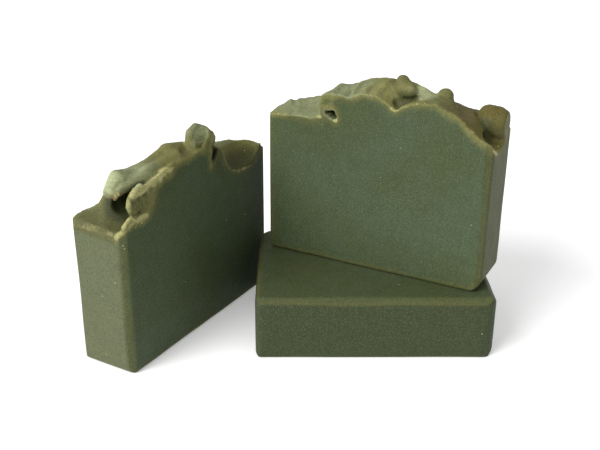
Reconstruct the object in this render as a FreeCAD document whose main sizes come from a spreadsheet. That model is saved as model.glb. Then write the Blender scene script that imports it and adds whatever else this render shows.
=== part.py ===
"""A set of three hand-cut soap bars from one loaf: one lies flat, one stands on it, and one stands beside them.

Every bar is a slice across a loaf. Its own frame has X along the loaf mould's width, Y through the slice from
one wire-cut face to the other, and Z up from the mould's floor to the spooned top.
The set's frame has +Z up, and its origin is in the middle of the lying bar's underside.
"""
import os

import FreeCAD, Part
import Sketcher
from FreeCAD import Placement, Rotation, Vector

doc = FreeCAD.newDocument("soap_bars")

# ---------------------------------------------------------------- driving dimensions, in mm and degrees
SIZES = {
    "slice_length": 87.6,        # the mould's inner width
    "slice_thickness": 24.0,     # the cutter's wire spacing
    "shoulder_height": 56.0,     # mould floor to the lowest part of the spooned top
    "crest_rise": 14.0,          # shoulder to the usual crest
    "bevel_width": 1.4,          # planed edges of both cut faces
    "left_corner_radius": 2.7,   # rounding of the mould's two floor corners
    "right_corner_radius": 5.5,
    "blank_height": 84.0,        # slab before its top is spooned away
    "tool_margin": 2.0,          # how far cutting tools run past the slab
    "rest_gap": 0.05,            # air left between stacked faces
    "lying_depth_offset": 30.0,  # the lying bar's front edge to the set's origin
    "upper_corner_x": -39.4,     # upper bar: near corner of its left end
    "upper_corner_y": 15.9,
    "upper_turn": -28.5,
    "standing_corner_x": -86.6,  # standing bar: corner nearest the viewer
    "standing_corner_y": -41.8,
    "standing_turn": 59.35,
}

# The spooned top, one row per station through the slice. The smooth curve of a station runs through points at
# (share of the length, share of the rise above the shoulder).
STATIONS = (0.0, 0.25, 0.5, 0.75, 1.0)
ALONG = (0.0, 0.06, 0.14, 0.21, 0.25, 0.30, 0.37, 0.44, 0.51, 0.565, 0.62, 0.70, 0.78, 0.85, 0.92, 1.0)
CRESTS = {
    "upper_bar": (
        (-0.13, 0.04, 0.02, 0.04, 0.56, 0.79, 0.75, 0.88, 0.83, 0.61, 0.70, 0.84, 0.80, 0.63, 0.29, 0.02),
        (-0.15, 0.11, 0.20, 0.25, 0.57, 0.82, 0.91, 1.02, 1.04, 1.07, 0.93, 0.84, 0.86, 0.61, 0.21, -0.21),
        (-0.10, 0.21, 0.35, 0.41, 0.64, 0.86, 0.98, 1.09, 1.09, 1.22, 1.06, 0.89, 0.96, 0.61, 0.43, -0.29),
        (-0.14, 0.11, 0.21, 0.29, 0.50, 0.68, 0.82, 0.93, 0.96, 0.96, 0.82, 0.75, 0.71, 0.46, 0.58, 0.21),
        (-0.21, 0.00, 0.11, 0.18, 0.29, 0.43, 0.57, 0.68, 0.71, 0.71, 0.64, 0.57, 0.50, 0.36, 0.36, 0.14),
    ),
    "standing_bar": (
        (0.01, 0.50, 0.66, 0.79, 0.89, 0.96, 1.03, 1.03, 1.09, 1.06, 0.92, 0.21, 0.00, -0.06, -0.09, 0.17),
        (-0.07, 0.29, 0.71, 0.89, 0.96, 1.07, 1.21, 1.32, 1.48, 1.50, 1.27, 0.86, 0.50, 0.36, 0.32, 0.25),
        (0.29, 0.71, 1.02, 0.96, 0.95, 0.96, 1.07, 1.21, 1.23, 1.29, 1.21, 0.93, 0.71, 0.61, 0.50, 0.36),
        (0.43, 0.57, 0.71, 0.75, 0.75, 0.76, 0.82, 0.93, 0.96, 1.00, 0.93, 0.79, 0.64, 0.50, 0.43, 0.29),
        (0.14, 0.29, 0.39, 0.46, 0.50, 0.54, 0.57, 0.64, 0.68, 0.68, 0.64, 0.57, 0.50, 0.43, 0.32, 0.14),
    ),
    "lying_bar": (
        (0.12, 0.55, 0.72, 0.80, 0.86, 0.95, 0.98, 0.88, 0.80, 0.76, 0.84, 0.96, 0.88, 0.70, 0.48, 0.16),
        (0.10, 0.58, 0.84, 0.98, 1.00, 0.94, 1.02, 1.08, 0.96, 0.84, 0.82, 0.96, 1.02, 0.84, 0.55, 0.20),
        (0.12, 0.56, 0.90, 1.08, 1.04, 0.92, 0.96, 1.12, 1.10, 0.98, 0.82, 0.88, 1.06, 0.98, 0.60, 0.22),
        (0.10, 0.48, 0.76, 0.98, 1.06, 1.00, 0.90, 0.98, 1.10, 1.06, 0.94, 0.86, 0.92, 0.86, 0.54, 0.18),
        (0.05, 0.38, 0.60, 0.76, 0.88, 0.94, 0.92, 0.88, 0.96, 1.00, 0.98, 0.88, 0.78, 0.64, 0.40, 0.12),
    ),
}

# Rounded knobs that the spoon pulled up and hollows that it left: name, centre (shares of the length, of the
# thickness and of the rise) and half-sizes in mm along the same three directions.
KNOBS = {
    "upper_bar": (
        ("peak_knob", (0.577, 0.42, 1.08), (3.6, 3.4, 3.2)),
        ("side_knob", (0.741, 0.58, 0.80), (4.2, 4.0, 3.6)),
        ("end_knob", (0.937, 0.69, 0.34), (5.8, 5.4, 5.5)),
    ),
    "standing_bar": (
        ("end_fold", (0.095, 0.46, 0.86), (6.0, 4.6, 4.4)),
        ("ridge_knob", (0.362, 0.38, 1.14), (4.8, 4.4, 3.8)),
        ("curled_tip", (0.523, 0.18, 1.46), (5.0, 3.4, 4.8)),
    ),
    "lying_bar": (
        ("low_knob", (0.270, 0.45, 0.92), (5.2, 4.8, 3.8)),
        ("high_knob", (0.740, 0.52, 0.92), (5.4, 5.0, 4.2)),
    ),
}
HOLLOWS = {
    "upper_bar": (
        ("curl_pocket", (0.297, 0.00, 0.16), (2.7, 5.0, 1.7)),
        ("end_hollow", (0.995, 0.33, 0.06), (5.8, 5.2, 4.2)),
    ),
    "standing_bar": (
        ("end_hollow", (0.030, 0.28, 0.24), (6.5, 4.4, 4.0)),
        ("curl_crevice", (0.602, 0.00, 0.80), (1.3, 4.0, 4.2)),
    ),
    "lying_bar": (
        ("spoon_hollow", (0.520, 0.30, 1.02), (6.5, 5.0, 4.0)),
    ),
}


def make_sheet():
    """The spreadsheet that every size is read from."""
    sheet = doc.addObject("Spreadsheet::Sheet", "sizes")
    for row, (alias, value) in enumerate(SIZES.items(), start=1):
        sheet.set(f"A{row}", alias)
        sheet.set(f"B{row}", str(value))
        sheet.setAlias(f"B{row}", alias)
    doc.recompute()
    return sheet


def origin_plane(body, role):
    return next(item for item in body.Origin.OriginFeatures if item.Role == role)


def add_sketch(body, name, role, offset_rule=None):
    """A sketch on one of the body's origin planes, moved off it along Y by a rule on the sheet's cells."""
    sketch = body.newObject("Sketcher::SketchObject", name)
    sketch.AttachmentSupport = [(origin_plane(body, role), "")]
    sketch.MapMode = "FlatFace"
    if offset_rule:
        # the XZ plane's own normal is -Y
        sketch.setExpression("AttachmentOffset.Base.z", f"-({offset_rule})")
    return sketch


def bind(sketch, constraint, rule):
    """Adds a distance to a sketch and ties it to a rule on the sheet's cells."""
    index = sketch.addConstraint(constraint)
    sketch.setExpression(f"Constraints[{index}]", rule)


def pin_point(sketch, geometry, corner, rule_x, rule_z):
    """Holds one point of a sketch at a distance from its origin along both axes."""
    bind(sketch, Sketcher.Constraint("DistanceX", -1, 1, geometry, corner, 1.0), rule_x)
    bind(sketch, Sketcher.Constraint("DistanceY", -1, 1, geometry, corner, 1.0), rule_z)


def closed_lines(sketch, corners):
    """Straight lines round a closed outline, joined end to end. Returns their indices."""
    lines = []
    for start, end in zip(corners, corners[1:] + corners[:1]):
        lines.append(sketch.addGeometry(Part.LineSegment(Vector(*start, 0), Vector(*end, 0)), False))
    for before, after in zip(lines, lines[1:] + lines[:1]):
        sketch.addConstraint(Sketcher.Constraint("Coincident", before, 2, after, 1))
    return lines


def add_slab(body, sheet):
    """The slice as the wire leaves it, still with a tall square top, and its planed edges."""
    sketch = add_sketch(body, "cut_face_outline", "XZ_Plane")
    length, height = sheet.slice_length, sheet.blank_height
    lines = closed_lines(sketch, [(0, 0), (length, 0), (length, height), (0, height)])
    rules = (("0 mm", "0 mm"), ("sizes.slice_length * 1 mm", "0 mm"),
             ("sizes.slice_length * 1 mm", "sizes.blank_height * 1 mm"), ("0 mm", "sizes.blank_height * 1 mm"))
    for line, (rule_x, rule_z) in zip(lines, rules):
        pin_point(sketch, line, 1, rule_x, rule_z)
    slab = body.newObject("PartDesign::Pad", "slab")
    slab.Profile = sketch
    slab.setExpression("Length", "sizes.slice_thickness * 1 mm")
    slab.Reversed = True
    doc.recompute()
    return slab


def edge_names(shape, wanted):
    """The names of the edges whose middle point passes a test."""
    return [f"Edge{i}" for i, edge in enumerate(shape.Edges, start=1) if wanted(edge.BoundBox.Center, edge)]


def add_edges(body, sheet, slab):
    """Rounds the two long edges at the mould's floor, then bevels the outline of both cut faces."""
    near, length = 0.01, sheet.slice_length
    feature = slab
    for side, at_end in (("left", lambda x: x < near), ("right", lambda x: x > length - near)):
        rounding = body.newObject("PartDesign::Fillet", f"{side}_floor_corner")
        rounding.Base = (feature, edge_names(feature.Shape, lambda mid, edge: mid.z < near and at_end(mid.x)))
        rounding.setExpression("Radius", f"sizes.{side}_corner_radius * 1 mm")
        doc.recompute()
        feature = rounding
    top, far_face = sheet.blank_height - near, sheet.slice_thickness - near
    outline = edge_names(feature.Shape, lambda mid, edge: mid.z < top and (mid.y < near or mid.y > far_face))
    bevel = body.newObject("PartDesign::Chamfer", "planed_edges")
    bevel.Base = (feature, outline)
    bevel.setExpression("Size", "sizes.bevel_width * 1 mm")
    doc.recompute()
    return bevel


def crest_curve(sheet, row):
    """A smooth curve through a station's points. Its ends run a little past the slab."""
    points = [Vector(sheet.slice_length * share, sheet.shoulder_height + sheet.crest_rise * rise, 0)
              for share, rise in zip(ALONG, row)]
    points[0].x -= sheet.tool_margin
    points[-1].x += sheet.tool_margin
    curve = Part.BSplineCurve()
    curve.interpolate(Points=points, Parameters=list(ALONG))
    return curve


def pole_rules(sheet, pole):
    """A pole's place as rules on the sheet's cells."""
    share = round(pole.x / sheet.slice_length, 5)
    rise = round((pole.y - sheet.shoulder_height) / sheet.crest_rise, 5)
    return (f"sizes.slice_length * {share} * 1 mm",
            f"(sizes.shoulder_height + sizes.crest_rise * {rise}) * 1 mm")


def add_crest_section(body, sheet, name, row, offset_rule):
    """The outline of what is spooned away at one station: a curve below, and straight lines above it."""
    sketch = add_sketch(body, name, "XZ_Plane", offset_rule)
    curve = crest_curve(sheet, row)
    rules = [pole_rules(sheet, pole) for pole in curve.getPoles()]
    spline = sketch.addGeometry(curve, False)
    sketch.exposeInternalGeometry(spline)
    circles = [i for i, item in enumerate(sketch.Geometry) if isinstance(item, Part.Circle)]
    for circle, (rule_x, rule_z) in zip(circles, rules):
        pin_point(sketch, circle, 3, rule_x, rule_z)
    first, last = curve.StartPoint, curve.EndPoint
    roof = sheet.blank_height + sheet.tool_margin
    path = [(last.x, last.y), (last.x, roof), (first.x, roof), (first.x, first.y)]
    lines = [sketch.addGeometry(Part.LineSegment(Vector(*a, 0), Vector(*b, 0)), False)
             for a, b in zip(path, path[1:])]
    sketch.addConstraint(Sketcher.Constraint("Coincident", spline, 2, lines[0], 1))
    sketch.addConstraint(Sketcher.Constraint("Coincident", lines[0], 2, lines[1], 1))
    sketch.addConstraint(Sketcher.Constraint("Coincident", lines[1], 2, lines[2], 1))
    sketch.addConstraint(Sketcher.Constraint("Coincident", lines[2], 2, spline, 1))
    roof_rule = "(sizes.blank_height + sizes.tool_margin) * 1 mm"
    pin_point(sketch, lines[1], 1, rules[-1][0], roof_rule)
    pin_point(sketch, lines[1], 2, rules[0][0], roof_rule)
    return sketch


def add_crest(body, sheet, rows):
    """Spoons the top away: a loft through the stations, run a little past both cut faces."""
    sections = []
    for number, (station, row) in enumerate(zip(STATIONS, rows), start=1):
        past = {0.0: " - sizes.tool_margin", 1.0: " + sizes.tool_margin"}.get(station, "")
        rule = f"(sizes.slice_thickness * {station}{past}) * 1 mm"
        sections.append(add_crest_section(body, sheet, f"crest_station_{number}", row, rule))
    doc.recompute()
    crest = body.newObject("PartDesign::SubtractiveLoft", "spooned_top")
    crest.Profile = sections[0]
    crest.Sections = sections[1:]
    doc.recompute()
    return crest


def add_lump(body, kind, name, centre, half_sizes):
    """A rounded knob or hollow. Its centre is in shares of the bar's own sizes."""
    lump = body.newObject(kind, name)
    lump.MapMode = "Deactivated"
    along, through, rise = centre
    lump.setExpression("Placement.Base.x", f"(sizes.slice_length * {along}) * 1 mm")
    lump.setExpression("Placement.Base.y", f"(sizes.slice_thickness * {through}) * 1 mm")
    lump.setExpression("Placement.Base.z", f"(sizes.shoulder_height + sizes.crest_rise * {rise}) * 1 mm")
    lump.Radius2, lump.Radius3, lump.Radius1 = half_sizes
    doc.recompute()
    return lump


def make_bar(name, sheet):
    """One bar, in its own frame."""
    body = doc.addObject("PartDesign::Body", name)
    body.Label = name
    slab = add_slab(body, sheet)
    add_edges(body, sheet, slab)
    crest = add_crest(body, sheet, CRESTS[name])
    report = [crest.Shape.Volume]
    for knob in KNOBS[name]:
        report.append(add_lump(body, "PartDesign::AdditiveEllipsoid", *knob).Shape.Volume)
    for hollow in HOLLOWS[name]:
        report.append(add_lump(body, "PartDesign::SubtractiveEllipsoid", *hollow).Shape.Volume)
    print(name, "volume after each step, cm3:", [round(volume / 1000, 2) for volume in report])
    return body


def place(body, sheet):
    """Puts a finished bar where it stands or lies in the set."""
    if body.Label == "lying_bar":
        tipped = Rotation(Vector(1, 0, 0), -90)
        body.Placement = Placement(Vector(0, 0, 0), tipped)
        body.setExpression("Placement.Base.x", "-sizes.slice_length / 2 * 1 mm")
        body.setExpression("Placement.Base.y", "-sizes.lying_depth_offset * 1 mm")
        body.setExpression("Placement.Base.z", "sizes.slice_thickness * 1 mm")
        return
    kind = body.Label.replace("_bar", "")
    turned = Rotation(Vector(0, 0, 1), getattr(sheet, f"{kind}_turn"))
    body.Placement = Placement(Vector(0, 0, 0), turned)
    body.setExpression("Placement.Base.x", f"sizes.{kind}_corner_x * 1 mm")
    body.setExpression("Placement.Base.y", f"sizes.{kind}_corner_y * 1 mm")
    if kind == "upper":
        body.setExpression("Placement.Base.z", "(sizes.slice_thickness + sizes.rest_gap) * 1 mm")


def check(bodies):
    """Stops before anything is written if a feature failed or a bar isn't one sound solid."""
    for item in doc.Objects:
        if {"Invalid", "Error"} & set(item.State):
            raise RuntimeError(f"{item.Label} is {item.State}")
    for body in bodies:
        if body.Shape.isNull() or not body.Shape.isValid() or len(body.Shape.Solids) != 1:
            raise RuntimeError(f"{body.Label} isn't one valid solid")


def print_gaps(bodies):
    """The air between each pair of bars."""
    for i, one in enumerate(bodies):
        for other in bodies[i + 1:]:
            gap = one.Shape.distToShape(other.Shape)[0]
            shared = one.Shape.common(other.Shape).Volume
            print(one.Label, "to", other.Label, "gap", round(gap, 3), "mm, shared", round(shared, 4), "mm3")


def main():
    sheet = make_sheet()
    bodies = [make_bar(name, sheet) for name in CRESTS]
    for body in bodies:
        place(body, sheet)
    doc.recompute()
    check(bodies)
    print_gaps(bodies)
    os.makedirs("parts", exist_ok=True)
    for body in bodies:
        body.Shape.exportStep(f"parts/{body.Label}.step")
        box = body.Shape.optimalBoundingBox()
        print(body.Label, "x", round(box.XMin, 1), round(box.XMax, 1), "y", round(box.YMin, 1),
              round(box.YMax, 1), "z", round(box.ZMin, 1), round(box.ZMax, 1),
              "volume", round(body.Shape.Volume / 1000, 1), "cm3")


main()
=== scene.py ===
"""Three hand-cut soap bars from one loaf: sculpted tops, planed edges, a waxy finish and a plain stage."""

import math

import bmesh
import bpy
import numpy as np
import openvdb
from bpy.props import FloatProperty, FloatVectorProperty, IntProperty, PointerProperty
from mathutils import Matrix, Vector


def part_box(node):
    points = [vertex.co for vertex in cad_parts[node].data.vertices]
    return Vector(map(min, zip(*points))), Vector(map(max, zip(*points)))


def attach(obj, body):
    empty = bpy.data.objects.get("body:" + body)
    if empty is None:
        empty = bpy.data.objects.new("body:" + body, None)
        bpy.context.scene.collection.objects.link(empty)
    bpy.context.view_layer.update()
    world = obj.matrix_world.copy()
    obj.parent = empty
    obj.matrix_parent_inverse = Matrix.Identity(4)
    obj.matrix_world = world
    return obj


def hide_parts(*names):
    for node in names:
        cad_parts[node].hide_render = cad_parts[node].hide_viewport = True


bl_info = {
    "name": "Hand-cut soap bars",
    "version": (1, 0, 0),
    "blender": (4, 5, 0),
    "location": "3D View > Sidebar > Soap",
    "description": "Makes a set of loaf soap bars with spooned tops",
    "category": "Object",
}

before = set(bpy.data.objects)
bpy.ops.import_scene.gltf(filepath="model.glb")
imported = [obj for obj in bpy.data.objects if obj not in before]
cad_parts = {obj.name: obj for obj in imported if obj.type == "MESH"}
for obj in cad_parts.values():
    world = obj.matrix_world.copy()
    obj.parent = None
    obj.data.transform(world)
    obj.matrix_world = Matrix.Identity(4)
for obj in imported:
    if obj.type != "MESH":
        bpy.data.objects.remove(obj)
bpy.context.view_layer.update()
MM = 0.001
SHOULDER = 56             # height of the loaf's side walls, mm
REACH = 5.0               # how far around a shape the carving looks, mm
WAVES = 6                 # sine waves in a wobble
WAVE_LEVEL = 3.2          # brings their sum back to about 1
HALF_DIAGONAL = 0.7071    # from a planed edge's width to its distance
FULL_TURN = 6.28          # radians, as far as a crumb may be turned
SHEEN = 0.14              # specular level of dry soap
SMALLEST_CRUMB = 0.15     # mm
LARGEST_CRUMB = 0.62      # mm
CRUMB_CLEARANCE = 1.0     # no crumbs this close to the bar's underside, mm
FLOOR_GLOW = 0.25
FLOOR_DROP = 0.00005      # keeps the floor just clear of the bars, m
SUN_FROM = (-0.74, -0.57, 0.60)
SUN_POWER = 3.5
SUN_SPREAD = 40           # degrees
SKY_POWER = 0.60


# ---------------------------------------------------------------- carving a slice of the loaf

def blend_union(a, b, softness):
    """Two shapes pressed together, with a soft seam."""
    overlap = np.maximum(softness - np.abs(a - b), 0.0) / softness
    return np.minimum(a, b) - overlap * overlap * softness * 0.25


def blend_cut(a, b, softness):
    """Shape b taken out of shape a, with a soft lip."""
    return -blend_union(-a, b, softness)


def wobble(u, v, w, size, seed):
    """Gentle unevenness between -1 and 1, with lumps about as wide as size."""
    rng = np.random.default_rng(seed)
    total = 0.0
    for _ in range(WAVES):
        direction = rng.normal(size=3)
        direction *= 2 * math.pi / (size * rng.uniform(0.8, 2.2) * np.linalg.norm(direction))
        phase = rng.uniform(0, 2 * math.pi)
        total = total + np.sin(u * direction[0] + v * direction[1] + w * direction[2] + phase)
    return total / WAVE_LEVEL


# kinds of painted colour spots: most are the soap's own colour, some are painted shade in hollows and under
# folds, one is partly painted light
PAINTS = ("sage", "ash_and_painted_light", "brown", "ember", "painted_shade", "deep_shade", "pale", "tint")


class LoafSlice:
    """A bar as a grid of distances to its surface in mm, below zero inside the soap.

    u runs along the bar, v through it from one cut face to the other, and w up from the mould's floor.
    """

    def __init__(self, size, grain):
        self.size = size
        self.grain = grain
        margin = 3
        self.low = -margin * grain
        extents = (size.length, size.thickness, size.blank)
        counts = [int(math.ceil(extent / grain)) + 2 * margin + 1 for extent in extents]
        axes = [self.low + grain * np.arange(count, dtype=np.float32) for count in counts]
        self.axes = axes
        self.u, self.v, self.w = axes[0][:, None, None], axes[1][None, :, None], axes[2][None, None, :]
        self.skin = None
        self.paints = {kind: [] for kind in PAINTS}

    def pour(self, stations, along, heights, softening):
        """The spooned top as a smooth sheet through rows of heights, one row for each station."""
        rows = [np.interp(self.axes[0], along, row) for row in heights]
        sheet = np.array([np.interp(self.axes[1], stations, column) for column in zip(*rows)])
        sheet = self.soften(sheet, softening)
        slope_u, slope_v = np.gradient(sheet, self.grain)
        steepness = np.sqrt(1.0 + slope_u ** 2 + slope_v ** 2)
        self.skin = ((self.w - sheet[:, :, None]) / steepness[:, :, None]).astype(np.float32)

    def soften(self, sheet, radius):
        """Rounds a sheet of heights off over a radius in mm."""
        reach = int(math.ceil(2.5 * radius / self.grain))
        kernel = np.exp(-0.5 * (np.arange(-reach, reach + 1) * self.grain / radius) ** 2)
        kernel /= kernel.sum()
        padded = np.pad(sheet, reach, mode="edge")
        padded = np.apply_along_axis(np.convolve, 0, padded, kernel, mode="valid")
        return np.apply_along_axis(np.convolve, 1, padded, kernel, mode="valid")

    def window(self, low, high):
        """The part of the grid that a stroke can reach, and its u, v and w."""
        picks = []
        for axis, a, b in zip(self.axes, low, high):
            first = int(np.searchsorted(axis, a))
            last = int(np.searchsorted(axis, b))
            picks.append(slice(first, max(last, first + 1)))
        picks = tuple(picks)
        return picks, self.u[picks[0]], self.v[:, picks[1]], self.w[:, :, picks[2]]

    def stroke(self, path):
        """Where a rounded stroke through (u, v, w, radius) points runs, and its distances."""
        low = [min(p[i] - p[3] for p in path) - REACH for i in range(3)]
        high = [max(p[i] + p[3] for p in path) + REACH for i in range(3)]
        picks, u, v, w = self.window(low, high)
        nearest = None
        for start, end in zip(path, path[1:] if len(path) > 1 else path):
            du, dv, dw = (end[i] - start[i] for i in range(3))
            span = max(du * du + dv * dv + dw * dw, 1e-6)
            share = np.clip(((u - start[0]) * du + (v - start[1]) * dv + (w - start[2]) * dw) / span, 0, 1)
            gap = np.sqrt((u - start[0] - share * du) ** 2 + (v - start[1] - share * dv) ** 2
                          + (w - start[2] - share * dw) ** 2)
            piece = gap - (start[3] + share * (end[3] - start[3]))
            nearest = piece if nearest is None else np.minimum(nearest, piece)
        return picks, nearest

    def ellipsoid(self, centre, radii, turn=0.0):
        """Where an egg shape turned about w lies, and its distances."""
        wide = max(radii[0], radii[1])
        sizes = (wide, wide, radii[2])
        picks, u, v, w = self.window([c - s - REACH for c, s in zip(centre, sizes)],
                                     [c + s + REACH for c, s in zip(centre, sizes)])
        u, v, w = u - centre[0], v - centre[1], w - centre[2]
        cosine, sine = math.cos(math.radians(turn)), math.sin(math.radians(turn))
        along, across = u * cosine + v * sine, v * cosine - u * sine
        ratio = np.sqrt((along / radii[0]) ** 2 + (across / radii[1]) ** 2 + (w / radii[2]) ** 2)
        slope = np.sqrt((along / radii[0] ** 2) ** 2 + (across / radii[1] ** 2) ** 2
                        + (w / radii[2] ** 2) ** 2)
        return picks, ratio * (ratio - 1.0) / np.maximum(slope, 1e-4)

    def add(self, shape, softness):
        picks, distance = shape
        self.skin[picks] = blend_union(self.skin[picks], distance, softness)

    def cut(self, shape, softness):
        picks, distance = shape
        self.skin[picks] = blend_cut(self.skin[picks], distance, softness)

    def lump(self, path, softness):
        """A rounded stroke of soap pressed on."""
        self.add(self.stroke(path), softness)

    def groove(self, path, softness):
        """A rounded stroke of soap taken out."""
        self.cut(self.stroke(path), softness)

    def crease(self, path, depth, width):
        """A fold line pressed into the surface."""
        picks, distance = self.stroke([(*p, 0.0) for p in path])
        self.skin[picks] = self.skin[picks] + depth * np.exp(-(distance / width) ** 2)

    def roughen(self, depth, size, seed):
        """Slight unevenness all over the spooned top."""
        self.skin = self.skin + depth * wobble(self.u, self.v, self.w, size, seed).astype(np.float32)

    def stain(self, kind, *spots):
        """Colours the soap around places: the soap's own colours, and also painted shade and painted light. A
        spot is a centre, the radii it fades out over, and an amount.
        """
        for centre, radii, amount in spots:
            self.paints[kind].append((np.array(centre), np.array(radii), amount))

    def trim(self):
        """Wire-cuts both faces, squares the sides, rounds the floor corners and planes the edges."""
        size = self.size
        v, w = self.v, self.w
        u = self.u - size.left_lean * (w - SHOULDER)
        far = size.length + size.right_lean * (w - SHOULDER) - self.u
        ends = []
        for gap, radius in ((u, size.left_corner), (far, size.right_corner)):
            round_off = radius - np.sqrt(np.maximum(radius - gap, 0) ** 2 + np.maximum(radius - w, 0) ** 2)
            ends.append(-np.where((gap < radius) & (w < radius), round_off, np.minimum(gap, w)))
        uneven = 0.05 * wobble(self.u, v, w, 30.0, size.seed + 6)
        sides = np.maximum(*ends) + uneven
        near, back = -v + 0.05 * wobble(self.u, v, w, 40.0, size.seed + 5), v - size.thickness
        faces = np.maximum(near, back)
        waver = 1.0 + 0.10 * wobble(self.u, v, w, 16.0, size.seed + 7)
        edges = [(near, -w, size.near_floor_bevel), (back, -w, size.back_floor_bevel)]
        edges += [(face, -u, size.left_bevel) for face in (near, back)]
        edges += [(face, -far, size.right_bevel) for face in (near, back)]
        block = np.maximum(sides, faces)
        for face, side, width in edges:
            block = -blend_union(-block, -(side + face + width * waver) * HALF_DIAGONAL, 0.35)
        rim = np.exp(-(self.skin / 0.9) ** 2) * np.exp(-np.maximum(-faces, 0) / 0.8)
        skin = self.skin + size.tear * rim * wobble(self.u, v, w, 1.7, size.seed + 9)
        self.outside = np.maximum(skin, sides)
        self.body = (-blend_union(-skin, -block, 0.3)).astype(np.float32)

    def read(self, field, places):
        """The values of a grid at points given in grid steps."""
        limit = np.array(field.shape) - 2
        low = np.clip(np.floor(places).astype(int), 0, limit)
        share = places - low
        total = 0.0
        for corner in range(8):
            step = np.array([(corner >> i) & 1 for i in range(3)])
            weight = np.prod(np.where(step, share, 1 - share), axis=1)
            total = total + weight * field[tuple((low + step).T)]
        return total

    def bulge(self, steps):
        """How far the soap bulges out (above zero) or dips in (below zero) around each point."""
        blurred = np.clip(self.body, -6, 6)
        for axis in (0, 1, 2, 0, 1, 2):
            pad = [(0, 0)] * 3
            pad[axis] = (steps + 1, steps)
            total = np.cumsum(np.pad(blurred, pad, mode="edge"), axis=axis, dtype=np.float64)
            count = blurred.shape[axis]
            upper = np.take(total, np.arange(2 * steps + 1, 2 * steps + 1 + count), axis=axis)
            lower = np.take(total, np.arange(count), axis=axis)
            blurred = (upper - lower) / (2 * steps + 1)
        return (blurred - np.clip(self.body, -6, 6)).astype(np.float32)

    def to_mesh(self, name, matrix):
        """The bar as a mesh in the set's frame, carrying at each point what the soap's colour depends on."""
        reach = 3 * self.grain
        grid = openvdb.FloatGrid(reach)
        grid.copyFromArray(np.clip(self.body, -reach, reach))
        points, _, quads = grid.convertToPolygons(isovalue=0.0)
        places = self.low + points * self.grain
        mesh = bpy.data.meshes.new(name)
        mesh.vertices.add(len(points))
        room = np.clip(places, (0, 0, 0), (self.size.length, self.size.thickness, self.size.blank))
        mesh.vertices.foreach_set("co", (room * MM).astype(np.float32).ravel())
        mesh.loops.add(len(quads) * 4)
        mesh.loops.foreach_set("vertex_index", quads[:, ::-1].astype(np.int32).ravel())
        mesh.polygons.add(len(quads))
        mesh.polygons.foreach_set("loop_start", np.arange(0, len(quads) * 4, 4, dtype=np.int32))
        mesh.update(calc_edges=True)

        def carry(label, values):
            layer = mesh.attributes.new(label, "FLOAT", "POINT")
            layer.data.foreach_set("value", values.astype(np.float32))

        carry("skin_depth", np.maximum(-self.read(self.outside, points), 0.0))
        carry("top_depth", np.maximum(-self.read(self.skin, points), 0.0))
        carry("along", places[:, 0] / self.size.length)
        carry("crest", self.read(self.bulge(4), points))
        for kind, spots in self.paints.items():
            strength = np.zeros(len(places))
            for centre, radii, amount in spots:
                share = np.clip(1.4 - np.linalg.norm((places - centre) / radii, axis=1), 0, 0.8) / 0.8
                strength = np.maximum(strength, amount * share * share * (3 - 2 * share))
            carry(kind, strength)
        # how deeply a point lies in a wide hollow; used only to paint shade there
        carry("shelter", -self.read(self.bulge(9), points))
        mesh.transform(matrix)
        mesh.validate()
        mesh.polygons.foreach_set("use_smooth", np.ones(len(mesh.polygons), dtype=bool))
        return mesh


# ---------------------------------------------------------------- the three tops

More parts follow.
